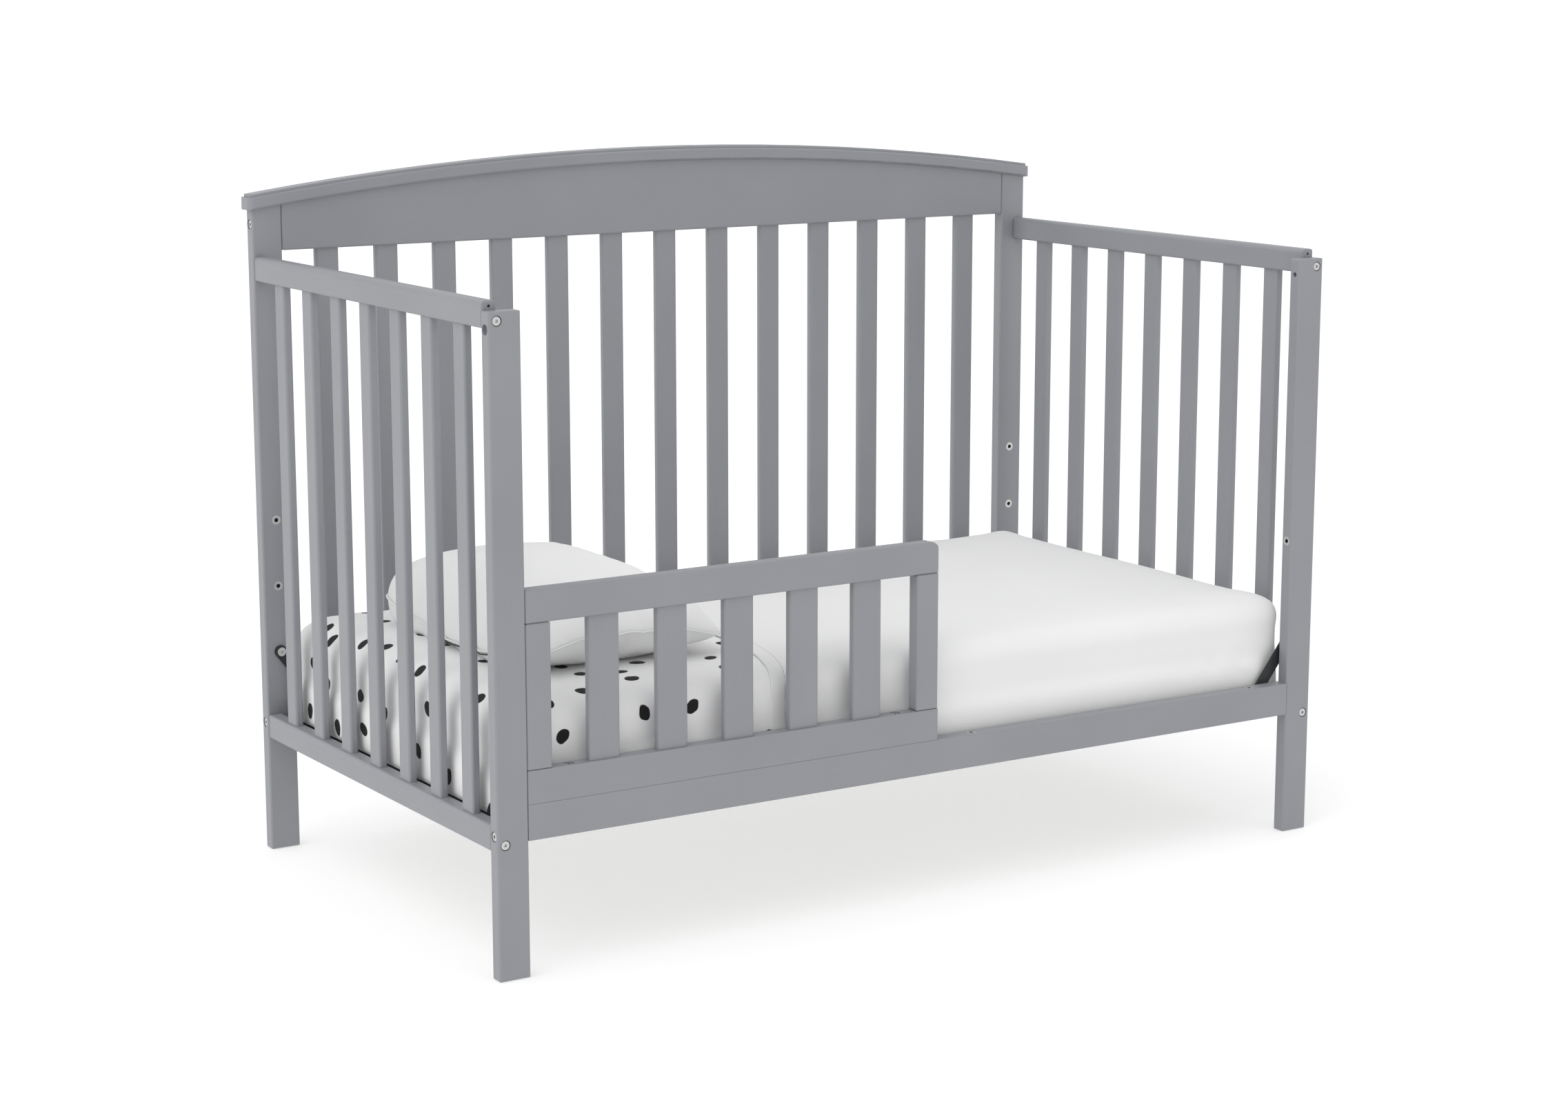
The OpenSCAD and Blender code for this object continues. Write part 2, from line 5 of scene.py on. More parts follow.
import bmesh
import bpy
import numpy as np
from mathutils import Matrix, Vector, noise


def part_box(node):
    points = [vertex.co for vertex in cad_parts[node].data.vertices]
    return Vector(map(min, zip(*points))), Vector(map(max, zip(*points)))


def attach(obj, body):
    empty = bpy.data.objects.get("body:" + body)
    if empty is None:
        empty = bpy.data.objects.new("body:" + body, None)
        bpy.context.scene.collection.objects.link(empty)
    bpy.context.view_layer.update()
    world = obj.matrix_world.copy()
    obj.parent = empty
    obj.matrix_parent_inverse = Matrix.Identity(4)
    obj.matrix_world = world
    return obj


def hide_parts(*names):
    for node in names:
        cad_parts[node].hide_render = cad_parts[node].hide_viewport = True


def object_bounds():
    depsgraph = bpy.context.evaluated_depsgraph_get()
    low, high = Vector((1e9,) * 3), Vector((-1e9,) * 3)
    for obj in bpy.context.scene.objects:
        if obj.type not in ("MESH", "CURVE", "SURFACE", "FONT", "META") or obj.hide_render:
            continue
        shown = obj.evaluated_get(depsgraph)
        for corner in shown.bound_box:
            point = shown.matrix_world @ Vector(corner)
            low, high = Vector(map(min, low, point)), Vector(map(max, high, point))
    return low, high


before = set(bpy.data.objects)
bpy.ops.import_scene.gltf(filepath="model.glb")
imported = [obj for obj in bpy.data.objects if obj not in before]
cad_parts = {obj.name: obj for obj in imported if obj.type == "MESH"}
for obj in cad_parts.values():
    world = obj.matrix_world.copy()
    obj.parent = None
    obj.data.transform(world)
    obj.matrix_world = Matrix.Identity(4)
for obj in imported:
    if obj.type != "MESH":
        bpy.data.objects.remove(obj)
cad_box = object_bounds()
MM = 0.001

# ---- places taken from the frame ----

mattress_low, mattress_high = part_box("mattress")
coverlet_low, coverlet_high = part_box("coverlet")
pillow_low, pillow_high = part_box("pillow")
mattress_mid = (mattress_low + mattress_high) / 2
mattress_half = (mattress_high - mattress_low) / 2
pillow_mid = (pillow_low + pillow_high) / 2
pillow_size = pillow_high - pillow_low
bed_mid = (cad_box[0] + cad_box[1]) / 2

# ---- camera, light and floor ----

# the camera stands off the front corner at the head end, a little above the guardrail's height
CAMERA_AZIMUTH = math.radians(-32.53)
CAMERA_ELEVATION = math.radians(10.76)
CAMERA_DISTANCE = 4.545
CAMERA_LENS = 70.87
CAMERA_SENSOR = 36
AIM = bed_mid + Vector((-0.016, -0.008, -0.081))
TENT_STRENGTH = 0.90
KEY_FROM = (-0.60, -0.20, 0.78)
KEY_WIDTH = math.radians(50)
KEY_STRENGTH = 0.85
FLOOR_SIDE = 80


def looking(location, target):
    """The placing that stands a camera or a light at location, looking at target."""
    turn = (target - location).to_track_quat("-Z", "Y").to_matrix().to_4x4()
    return Matrix.Translation(location) @ turn


def put_in_scene(name, data):
    """A new object for a mesh, a curve, a light or a camera."""
    made = bpy.data.objects.new(name, data)
    bpy.context.scene.collection.objects.link(made)
    return made


def make_camera():
    data = bpy.data.cameras.new("camera")
    data.lens = CAMERA_LENS
    data.sensor_width = CAMERA_SENSOR
    camera = put_in_scene("camera", data)
    flat = math.cos(CAMERA_ELEVATION)
    back = Vector((math.sin(CAMERA_AZIMUTH) * flat,
                   -math.cos(CAMERA_AZIMUTH) * flat,
                   math.sin(CAMERA_ELEVATION)))
    camera.matrix_world = looking(AIM + back * CAMERA_DISTANCE, AIM)
    bpy.context.scene.camera = camera


def make_key_softbox():
    """One large soft light, far off towards the head end, above the front."""
    data = bpy.data.lights.new("key_softbox", "SUN")
    data.angle = KEY_WIDTH
    data.energy = KEY_STRENGTH
    light = put_in_scene("key_softbox", data)
    light.matrix_world = looking(bed_mid + Vector(KEY_FROM) * 5, bed_mid)


def make_studio():
    """A white tent of light round the bed, its key softbox, and a pale floor."""
    scene = bpy.context.scene
    scene.view_settings.view_transform = "Standard"
    world = bpy.data.worlds.new("white_studio")
    world.use_nodes = True
    tree = world.node_tree
    tent = tree.nodes["Background"]
    tent.inputs["Color"].default_value = linear("FFFFFF")
    tent.inputs["Strength"].default_value = TENT_STRENGTH
    # the sweep behind the bed is plain white paper
    paper = add(tree, "ShaderNodeBackground", {"Color": linear("FFFFFF"), "Strength": 1.0})
    seen = add(tree, "ShaderNodeLightPath").outputs["Is Camera Ray"]
    both = add(tree, "ShaderNodeMixShader", {0: seen, 1: tent.outputs[0], 2: paper.outputs[0]})
    tree.links.new(both.outputs[0], tree.nodes["World Output"].inputs["Surface"])
    scene.world = world
    make_key_softbox()
    bpy.ops.mesh.primitive_plane_add(size=FLOOR_SIDE, location=(0, 0, -0.5 * MM))
    floor = bpy.context.object
    floor.name = "studio_floor"
    floor.data.materials.append(matt_white_floor())


# ---- materials ----

def linear(code):
    """An sRGB hex colour as the linear colour that shaders take."""
    parts = [int(code[i:i + 2], 16) / 255 for i in (0, 2, 4)]
    return tuple(c / 12.92 if c <= 0.04045 else ((c + 0.055) / 1.055) ** 2.4 for c in parts) + (1.0,)


def add(tree, kind, sockets=None, **settings):
    """Adds a node, with its settings, and a value or a link for each named socket."""
    made = tree.nodes.new(kind)
    for name, value in settings.items():
        setattr(made, name, value)
    for key, value in (sockets or {}).items():
        if isinstance(value, bpy.types.NodeSocket):
            tree.links.new(value, made.inputs[key])
        else:
            made.inputs[key].default_value = value
    return made


def new_material(name):
    """An empty material, with its tree and its shader."""
    material = bpy.data.materials.new(name)
    material.use_nodes = True
    return material, material.node_tree, material.node_tree.nodes["Principled BSDF"]


def lacquered_pine(run):
    """Knot-free pine, sanded, primed and sprayed with grey satin lacquer. The eye gets an even grey, a soft
    highlight, a trace of grain that the lacquer has sunk into, and the spray's fine orange peel. run is the
    axis that the board's grain follows."""
    material, tree, shader = new_material("lacquered_pine_" + "xyz"[run])
    place = add(tree, "ShaderNodeTexCoord").outputs["Object"]
    # growth rings show about 3 mm apart and run for 250 mm, vessels 0.6 mm apart and 40 mm long
    ring_scale = [330.0] * 3
    ring_scale[run] = 4.0
    vessel_scale = [1600.0] * 3
    vessel_scale[run] = 25.0
    rings_at = add(tree, "ShaderNodeMapping", {"Vector": place, "Scale": ring_scale}).outputs["Vector"]
    vessels_at = add(tree, "ShaderNodeMapping", {"Vector": place, "Scale": vessel_scale}).outputs["Vector"]
    rings = add(tree, "ShaderNodeTexNoise", {"Vector": rings_at, "Scale": 1.0, "Detail": 2.0,
                                             "Distortion": 0.4}).outputs["Fac"]
    vessels = add(tree, "ShaderNodeTexNoise", {"Vector": vessels_at, "Scale": 1.0,
                                               "Detail": 1.0}).outputs["Fac"]
    # boards differ a little from one another, over about 150 mm
    board_tone = add(tree, "ShaderNodeTexNoise", {"Vector": place, "Scale": 6.5, "Detail": 2.0}).outputs["Fac"]
    # orange peel has bumps 2 mm across
    peel = add(tree, "ShaderNodeTexNoise", {"Vector": place, "Scale": 500.0, "Detail": 1.0}).outputs["Fac"]
    tone = add(tree, "ShaderNodeMapRange", {"Value": board_tone, "From Min": 0.3, "From Max": 0.7,
                                            "To Min": 0.0, "To Max": 1.0}).outputs["Result"]
    even = add(tree, "ShaderNodeMix", {"Factor": tone, "A": linear("888A8F"), "B": linear("8C8E93")},
               data_type="RGBA").outputs["Result"]
    # where the lacquer has sunk into the rings the grey is a twentieth darker at most
    grained = add(tree, "ShaderNodeMapRange", {"Value": rings, "From Min": 0.35, "From Max": 0.65,
                                               "To Min": 0.0, "To Max": 0.05}).outputs["Result"]
    colour = add(tree, "ShaderNodeMix", {"Factor": grained, "A": even, "B": linear("787A7F")}, data_type="RGBA")
    tree.links.new(colour.outputs["Result"], shader.inputs["Base Color"])
    gloss = add(tree, "ShaderNodeMapRange", {"Value": vessels, "From Min": 0.3, "From Max": 0.7,
                                             "To Min": 0.34, "To Max": 0.44}).outputs["Result"]
    tree.links.new(gloss, shader.inputs["Roughness"])
    grain_bump = add(tree, "ShaderNodeBump", {"Height": rings, "Strength": 0.08, "Distance": 0.12 * MM})
    pore_bump = add(tree, "ShaderNodeBump", {"Height": vessels, "Strength": 0.10, "Distance": 0.08 * MM,
                                             "Normal": grain_bump.outputs["Normal"]})
    peel_bump = add(tree, "ShaderNodeBump", {"Height": peel, "Strength": 0.12, "Distance": 0.10 * MM,
                                             "Normal": pore_bump.outputs["Normal"]})
    tree.links.new(peel_bump.outputs["Normal"], shader.inputs["Normal"])
    shader.inputs["IOR"].default_value = 1.5
    return material


def powder_coated_steel():
    """Mild steel, powder coated black. The eye gets a near-black satin skin with the powder's fine pebble."""
    material, tree, shader = new_material("powder_coated_steel")
    place = add(tree, "ShaderNodeTexCoord").outputs["Object"]
    # the powder's pebble is about 0.7 mm across
    pebble = add(tree, "ShaderNodeTexNoise", {"Vector": place, "Scale": 1400.0, "Detail": 2.0}).outputs["Fac"]
    rubbed = add(tree, "ShaderNodeTexNoise", {"Vector": place, "Scale": 28.0, "Detail": 3.0}).outputs["Fac"]
    colour = add(tree, "ShaderNodeMix", {"Factor": rubbed, "A": linear("14171B"), "B": linear("1D2126")},
                 data_type="RGBA")
    tree.links.new(colour.outputs["Result"], shader.inputs["Base Color"])
    gloss = add(tree, "ShaderNodeMapRange", {"Value": rubbed, "To Min": 0.38, "To Max": 0.52}).outputs["Result"]
    tree.links.new(gloss, shader.inputs["Roughness"])
    bump = add(tree, "ShaderNodeBump", {"Height": pebble, "Strength": 0.25, "Distance": 0.15 * MM})
    tree.links.new(bump.outputs["Normal"], shader.inputs["Normal"])
    shader.inputs["IOR"].default_value = 1.52
    return material


def zinc_plated_steel():
    """Cold-headed steel, bright zinc plated. The eye gets a cool, slightly clouded metal with fine marks."""
    material, tree, shader = new_material("zinc_plated_steel")
    place = add(tree, "ShaderNodeTexCoord").outputs["Object"]
    # clouds in the plating are about 3 mm across, and the turning marks 0.3 mm
    cloudy = add(tree, "ShaderNodeTexNoise", {"Vector": place, "Scale": 330.0, "Detail": 3.0}).outputs["Fac"]
    marks = add(tree, "ShaderNodeTexNoise", {"Vector": place, "Scale": 3300.0, "Detail": 1.0}).outputs["Fac"]
    colour = add(tree, "ShaderNodeMix", {"Factor": cloudy, "A": linear("B9BABB"), "B": linear("D3D3D0")},
                 data_type="RGBA")
    tree.links.new(colour.outputs["Result"], shader.inputs["Base Color"])
    gloss = add(tree, "ShaderNodeMapRange", {"Value": cloudy, "To Min": 0.24, "To Max": 0.42}).outputs["Result"]
    tree.links.new(gloss, shader.inputs["Roughness"])
    bump = add(tree, "ShaderNodeBump", {"Height": marks, "Strength": 0.15, "Distance": 0.05 * MM})
    tree.links.new(bump.outputs["Normal"], shader.inputs["Normal"])
    shader.inputs["Metallic"].default_value = 1.0
    return material


def weave(tree, place, threads_apart):
    """Warp and weft of a plain weave, one over and one under, as a height from 0 to 1."""
    turns = math.pi / threads_apart
    parts = add(tree, "ShaderNodeSeparateXYZ", {"Vector": place}).outputs
    waves = []
    for axis in ("X", "Y", "Z"):
        angle = add(tree, "ShaderNodeMath", {0: parts[axis], 1: turns}, operation="MULTIPLY").outputs[0]
        waves.append(add(tree, "ShaderNodeMath", {0: angle}, operation="SINE").outputs[0])
    crossed = add(tree, "ShaderNodeMath", {0: waves[0], 1: waves[1]}, operation="MULTIPLY").outputs[0]
    height = add(tree, "ShaderNodeMath", {0: crossed, 1: waves[2]}, operation="ADD").outputs[0]
    return add(tree, "ShaderNodeMapRange", {"Value": height, "From Min": -1.0,
                                            "From Max": 1.0}).outputs["Result"]


def cotton_shader(tree, shader, colour, crease_scale, crease_depth):
    """What all the cotton here shares: threads, slubs, soft creases, a little sheen and a matt surface."""
    place = add(tree, "ShaderNodeTexCoord").outputs["Object"]
    # percale has threads 0.25 mm apart, too fine to show, so they are drawn 1.1 mm apart
    threads = weave(tree, place, 1.1 * MM)
    # slubs are 8 mm long, and creases lie crease_scale apart
    slubs = add(tree, "ShaderNodeTexNoise", {"Vector": place, "Scale": 125.0, "Detail": 3.0}).outputs["Fac"]
    creases = add(tree, "ShaderNodeTexNoise", {"Vector": place, "Scale": 1 / crease_scale, "Detail": 3.0,
                                               "Roughness": 0.45, "Distortion": 0.8}).outputs["Fac"]
    tree.links.new(colour, shader.inputs["Base Color"])
    crease_bump = add(tree, "ShaderNodeBump", {"Height": creases, "Strength": 0.5, "Distance": crease_depth})
    slub_bump = add(tree, "ShaderNodeBump", {"Height": slubs, "Strength": 0.12, "Distance": 0.2 * MM,
                                             "Normal": crease_bump.outputs["Normal"]})
    thread_bump = add(tree, "ShaderNodeBump", {"Height": threads, "Strength": 0.10, "Distance": 0.12 * MM,
                                               "Normal": slub_bump.outputs["Normal"]})
    tree.links.new(thread_bump.outputs["Normal"], shader.inputs["Normal"])
    fuzz = add(tree, "ShaderNodeMapRange", {"Value": slubs, "To Min": 0.80, "To Max": 0.92}).outputs["Result"]
    tree.links.new(fuzz, shader.inputs["Roughness"])
    shader.inputs["Sheen Weight"].default_value = 0.06
    shader.inputs["Sheen Roughness"].default_value = 0.5
    shader.inputs["IOR"].default_value = 1.46


def white_percale(name, light, shade, crease_scale, crease_depth):
    """Bleached cotton percale, woven and pressed. The eye gets a dry, soft white with faint creases."""
    material, tree, shader = new_material(name)
    place = add(tree, "ShaderNodeTexCoord").outputs["Object"]
    cloudy = add(tree, "ShaderNodeTexNoise", {"Vector": place, "Scale": 9.0, "Detail": 3.0}).outputs["Fac"]
    colour = add(tree, "ShaderNodeMix", {"Factor": cloudy, "A": linear(shade), "B": linear(light)},
                 data_type="RGBA").outputs["Result"]
    cotton_shader(tree, shader, colour, crease_scale, crease_depth)
    return material


def dotted_jersey():
    """White cotton jersey, screen printed with hand-drawn black dots. Each dot is an oval about 22 mm long that
    turns its own way, and the dots stand about 65 mm apart with no rows."""
    material, tree, shader = new_material("dotted_jersey")
    flat = add(tree, "ShaderNodeUVMap", uv_map="cut").outputs["UV"]
    wobble = add(tree, "ShaderNodeTexNoise", {"Vector": flat, "Scale": 60.0, "Detail": 1.0}).outputs["Color"]
    middle = add(tree, "ShaderNodeVectorMath", {0: wobble, 1: (0.5, 0.5, 0.5)}, operation="SUBTRACT").outputs[0]
    shaken = add(tree, "ShaderNodeVectorMath", {0: middle, "Scale": 5.0 * MM}, operation="SCALE").outputs[0]
    drawn = add(tree, "ShaderNodeVectorMath", {0: flat, 1: shaken}, operation="ADD").outputs[0]
    cells = add(tree, "ShaderNodeTexVoronoi", {"Vector": drawn, "Scale": 1 / (65 * MM), "Randomness": 0.62},
                voronoi_dimensions="2D")
    # the voronoi's Position output is in the texture's own input space
    from_centre = add(tree, "ShaderNodeVectorMath", {0: drawn, 1: cells.outputs["Position"]},
                      operation="SUBTRACT").outputs[0]
    chance = add(tree, "ShaderNodeSeparateColor", {"Color": cells.outputs["Color"]}).outputs
    angle = add(tree, "ShaderNodeMath", {0: chance["Red"], 1: math.tau}, operation="MULTIPLY").outputs[0]
    turned = add(tree, "ShaderNodeVectorRotate", {"Vector": from_centre, "Angle": angle},
                 rotation_type="Z_AXIS").outputs["Vector"]
    oval = add(tree, "ShaderNodeVectorMath", {0: turned, 1: (1 / (11.2 * MM), 1 / (8.6 * MM), 0.0)},
               operation="MULTIPLY").outputs[0]
    away = add(tree, "ShaderNodeVectorMath", {0: oval}, operation="LENGTH").outputs["Value"]
    ink = add(tree, "ShaderNodeMapRange", {"Value": away, "From Min": 1.06, "From Max": 0.96,
                                           "To Min": 0.0, "To Max": 1.0}).outputs["Result"]
    place = add(tree, "ShaderNodeTexCoord").outputs["Object"]
    cloudy = add(tree, "ShaderNodeTexNoise", {"Vector": place, "Scale": 9.0, "Detail": 3.0}).outputs["Fac"]
    cloth = add(tree, "ShaderNodeMix", {"Factor": cloudy, "A": linear("EAEAEA"), "B": linear("EFEFEF")},
                data_type="RGBA").outputs["Result"]
    colour = add(tree, "ShaderNodeMix", {"Factor": ink, "A": cloth, "B": linear("101011")},
                 data_type="RGBA").outputs["Result"]
    cotton_shader(tree, shader, colour, 45 * MM, 1.2 * MM)
    return material


def mattress_ticking():
    """White cotton ticking, woven in a twill. From below, the eye gets a plain pale cloth with fine ribs."""
    material, tree, shader = new_material("mattress_ticking")
    place = add(tree, "ShaderNodeTexCoord").outputs["Object"]
    slanted = add(tree, "ShaderNodeMapping", {"Vector": place, "Rotation": (0.0, 0.0, math.radians(45))})
    # twill ribs are 0.7 mm apart and drawn 2 mm apart
    ribs = add(tree, "ShaderNodeTexWave", {"Vector": slanted.outputs["Vector"], "Scale": 160.0,
                                           "Distortion": 0.3}).outputs["Fac"]
    stains = add(tree, "ShaderNodeTexNoise", {"Vector": place, "Scale": 7.0, "Detail": 3.0}).outputs["Fac"]
    colour = add(tree, "ShaderNodeMix", {"Factor": stains, "A": linear("DAD9D4"), "B": linear("E6E5E1")},
                 data_type="RGBA")
    tree.links.new(colour.outputs["Result"], shader.inputs["Base Color"])
    bump = add(tree, "ShaderNodeBump", {"Height": ribs, "Strength": 0.3, "Distance": 0.3 * MM})
    tree.links.new(bump.outputs["Normal"], shader.inputs["Normal"])
    shader.inputs["Roughness"].default_value = 0.88
    shader.inputs["Sheen Weight"].default_value = 0.1
    return material


def matt_white_floor():
    """Opal white acrylic sheet, frosted, and lit from below. The eye gets matt white and pale, soft shadows."""
    material, tree, shader = new_material("matt_white_floor")
    shader.inputs["Base Color"].default_value = linear("C8C8C8")
    shader.inputs["Roughness"].default_value = 1.0
    shader.inputs["Specular IOR Level"].default_value = 0.0
    shader.inputs["Emission Color"].default_value = linear("FFFFFF")
    shader.inputs["Emission Strength"].default_value = 0.48
    return material


def cover_carried_over_parts():
    """Gives every hard part that comes from CAD its real finish; the mattress, sheet, coverlet and pillow are
    left out. Each board's grain runs along it.
    """
    pine = [lacquered_pine(axis) for axis in range(3)]
    steel = powder_coated_steel()
    zinc = zinc_plated_steel()
    metals = {"support_frame": steel, "deck_cross_wires": steel, "deck_long_wires": steel, "hanger_arms": steel,
              "hanger_screws": zinc, "arm_rivets": zinc, "threaded_inserts": zinc, "frame_bolts": zinc}
    soft = ("mattress", "fitted_sheet", "coverlet", "pillow")
    for name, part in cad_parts.items():
        if name in soft:
            continue
        low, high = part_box(name)
        long_way = max(range(3), key=lambda axis: (high - low)[axis])
        material = metals.get(name, pine[long_way])
        part.data.materials.clear()
        part.data.materials.append(material)


# ---- soft goods ----

# the mattress's surface is worked out on cells this wide, with room for the cloth inside its CAD solid
BLOCK_STEP = 10 * MM
CLOTH_ROOM = np.array([1.5, 1.5, 0.5]) * MM
# in plan its corners are squarish, and the more so the higher this power
CORNER_POWER = 5
TOP_EDGE_R = 25 * MM
HEAD_EDGE_R = 44 * MM
HEAD_EDGE_X = (-0.65, -0.35)
MATTRESS_SWELL = {"pressure": 2.2, "frames": 16, "most": 5 * MM}
# its top crowns a little, most of all in the middle of the foot half
CROWN = 6 * MM
CROWN_X = 0.2
CROWN_REACH = (0.42, 0.26)
LUMPS = 1 * MM
# how high the sheet's folds and gathers stand off the mattress
SHEET_LIFT = 0.9 * MM
CORNER_FOLD = 1.1 * MM
HEM_PUCKER = 0.8 * MM
HANGING_FOLD = 3.2 * MM
PRESSED_LIFT = 0.4 * MM
SHEET_THICK = 0.6 * MM
# its hem hangs past the mattress's foot at both ends, and is turned under it along both sides
HEM_DROP = 4.5 * MM
HEM_TURN = 40 * MM
# the coverlet is thicker than the sheet, and its tuck ends above the mattress's foot
COVERLET_THICK = 2 * MM
COVERLET_LIFT = 2.2 * MM
COVERLET_TUCK = 8 * MM
HEM_STITCH = 22 * MM
# the pillow's case is cut to this size, and its cells are this wide
PILLOW_BAG = (347 * MM, 495 * MM)
PILLOW_STEP = 7.5 * MM
PILLOW_START = 14 * MM
PILLOW_SWELL = {"pressure": 9.0, "frames": 26, "most": 0.2, "stiffness": 25.0}
# how far its corners are cut round, as a share of its half width, and how much more at the head side
PILLOW_CORNER = 0.08
HEAD_CORNERS = 1.2
FOOT_CORNERS = 0.7
PILLOW_PACKED_SIDES = 0.72
# the seam's height, as a share of the pillow's, and how full its top is: lower is fuller
PILLOW_SEAM_SHARE = 0.37
PILLOW_FULLNESS = 0.72
PACKED_FULLER = 0.38
PILLOW_DROOP = 15 * MM
PILLOW_HEAD_SAG = 30 * MM
PILLOW_LEAN = 3 * MM
WELT_R = 1.3 * MM
# where the zip and its pull lie, as shares of the pillow's head side from the back, and of one cell downwards
ZIP_ENDS = (0.36, 0.93)
ZIP_PULL = (0.44, 0.49)
ZIP_BELOW_SEAM = 0.30
ZIP_OUT = np.array([-2.0, 0, -1.6]) * MM
ZIP_R = 1.1 * MM


def mesh_object(name, points, faces):
    mesh = bpy.data.meshes.new(name)
    mesh.from_pydata([tuple(p) for p in points], [], [tuple(f) for f in faces])
    mesh.update()
    return put_in_scene(name, mesh)


def points_of(piece):
    flat = np.empty(len(piece.data.vertices) * 3)
    piece.data.vertices.foreach_get("co", flat)
    return flat.reshape(-1, 3)


def set_points(piece, points):
    piece.data.vertices.foreach_set("co", np.asarray(points, float).ravel())
    piece.data.update()


def normals_of(piece):
    flat = np.empty(len(piece.data.vertices) * 3)
    piece.data.vertices.foreach_get("normal", flat)
    return flat.reshape(-1, 3)


def smooth(piece):
    piece.data.polygons.foreach_set("use_smooth", [True] * len(piece.data.polygons))


def box_grid(half, step):
    """A closed box of square-ish cells about step wide, as points and faces."""
    counts = [max(2, round(2 * h / step)) for h in half]
    index, points, faces = {}, [], []

    def corner(key):
        if key not in index:
            index[key] = len(points)
            points.append([half[a] * (2 * key[a] / counts[a] - 1) for a in range(3)])
        return index[key]

    for axis in range(3):
        u, v = (axis + 1) % 3, (axis + 2) % 3
        for side in (0, counts[axis]):
            for i in range(counts[u]):
                for j in range(counts[v]):
                    ring = []
                    for du, dv in ((0, 0), (1, 0), (1, 1), (0, 1)):
                        key = [0, 0, 0]
                        key[axis], key[u], key[v] = side, i + du, j + dv
                        ring.append(corner(tuple(key)))
                    faces.append(ring if side else ring[::-1])
    return np.array(points), faces


def top_round(x):
    """How far the mattress's top edge rounds over: fuller at the head end than along the rest."""
    return TOP_EDGE_R + (HEAD_EDGE_R - TOP_EDGE_R) * (1 - fade(x, *HEAD_EDGE_X))


def eased(points, half):
    """Box points moved onto a block with squarish corners in plan, a full top edge and a crisp lower one."""
    round_r = top_round(points[:, 0])[:, None]
    core = np.column_stack([np.clip(points[:, :2], round_r - half[:2], half[:2] - round_r),
                            np.minimum(points[:, 2:], half[2] - round_r)])
    away = (points - core) / round_r
    plan = (np.abs(away[:, :2]) ** CORNER_POWER).sum(axis=1) ** (1 / CORNER_POWER)
    above = points[:, 2] > 0
    size = np.where(above, np.sqrt(plan ** 2 + away[:, 2] ** 2), np.maximum(plan, 1))
    return core + away / size[:, None] * round_r


def swell(piece, pressure, frames, most, pinned=None, stiffness=15.0):
    """Blows a closed cloth up with the cloth simulation. No point goes further than most from its start."""
    start = points_of(piece)
    cloth = piece.modifiers.new("cloth", "CLOTH")
    settings = cloth.settings
    settings.quality = 6
    settings.mass = 0.2
    settings.tension_stiffness = stiffness
    settings.compression_stiffness = stiffness
    settings.shear_stiffness = 5.0
    settings.bending_stiffness = 0.3
    settings.use_pressure = True
    settings.uniform_pressure_force = pressure
    settings.effector_weights.gravity = 0.0
    cloth.collision_settings.use_collision = False
    cloth.collision_settings.use_self_collision = False
    if pinned is not None:
        group = piece.vertex_groups.new(name="held")
        group.add([int(i) for i in np.flatnonzero(pinned)], 1.0, "REPLACE")
        settings.vertex_group_mass = "held"
    cloth.point_cache.frame_start = 1
    cloth.point_cache.frame_end = frames
    for moment in range(1, frames + 1):
        bpy.context.scene.frame_set(moment)
    grown = piece.evaluated_get(bpy.context.evaluated_depsgraph_get())
    flat = np.empty(len(grown.data.vertices) * 3)
    grown.data.vertices.foreach_get("co", flat)
    moved = flat.reshape(-1, 3) - start
    piece.modifiers.remove(cloth)
    piece.vertex_groups.clear()
    bpy.context.scene.frame_set(1)
    size = np.linalg.norm(moved, axis=1, keepdims=True)
    set_points(piece, start + moved * np.minimum(1.0, most / np.maximum(size, 1e-9)))


def fade(value, start, end):
    """A smooth step from 0 at start to 1 at end."""
    t = np.clip((value - start) / (end - start), 0, 1)
    return t * t * (3 - 2 * t)


def cloud(points, scale, seed):
    """Smooth noise about scale wide, from -1 to 1, at each point."""
    shift = Vector((seed * 7.31, seed * 3.17, seed * 1.93))
    return np.array([noise.noise(Vector(p) / scale + shift) for p in points])


def mattress_form():
    """The mattress's swollen surface: points about its own middle, faces, and the points before it swelled."""
    half = np.array(mattress_half) - CLOTH_ROOM
    box, faces = box_grid(half, BLOCK_STEP)
    rest = eased(box, half)
    block = mesh_object("mattress_block", rest, faces)
    bottom = rest[:, 2] < -half[2] + 2 * MM
    swell(block, **MATTRESS_SWELL, pinned=bottom)
    points = points_of(block)
    up = fade(rest[:, 2], 0, half[2])
    crown = np.exp(-(((rest[:, 0] - CROWN_X) / CROWN_REACH[0]) ** 2) - (rest[:, 1] / CROWN_REACH[1]) ** 2)
    points[:, 2] += up * (crown * CROWN + cloud(rest, 0.22, 1) * LUMPS)
    points[:, 2] = np.maximum(points[:, 2], -mattress_half[2])
    # nothing stands out past the space between the posts and the rails
    limit = np.array([mattress_half[0] + 0.5 * MM, mattress_half[1] + 0.5 * MM])
    points[:, :2] = np.clip(points[:, :2], -limit, limit)
    bpy.data.objects.remove(block)
    return points, faces, rest, half


def arc_down(rest, half):
    """How far each point lies down the side, along the cloth, from where the top starts to curve over."""
    round_r = top_round(rest[:, 0])
    top = half[2] - round_r
    past = np.maximum(np.abs(rest[:, 0]) - half[0], np.abs(rest[:, 1]) - half[1])
    over = np.arctan2(np.clip(past + round_r, 0, round_r), np.maximum(rest[:, 2] - top, 1e-9)) * round_r
    side = round_r * math.pi / 2 + (top - rest[:, 2])
    under = np.where(rest[:, 2] < 0.1 * MM - half[2], np.maximum(-past, 0), 0)
    return np.where(rest[:, 2] >= top, over, side + under)


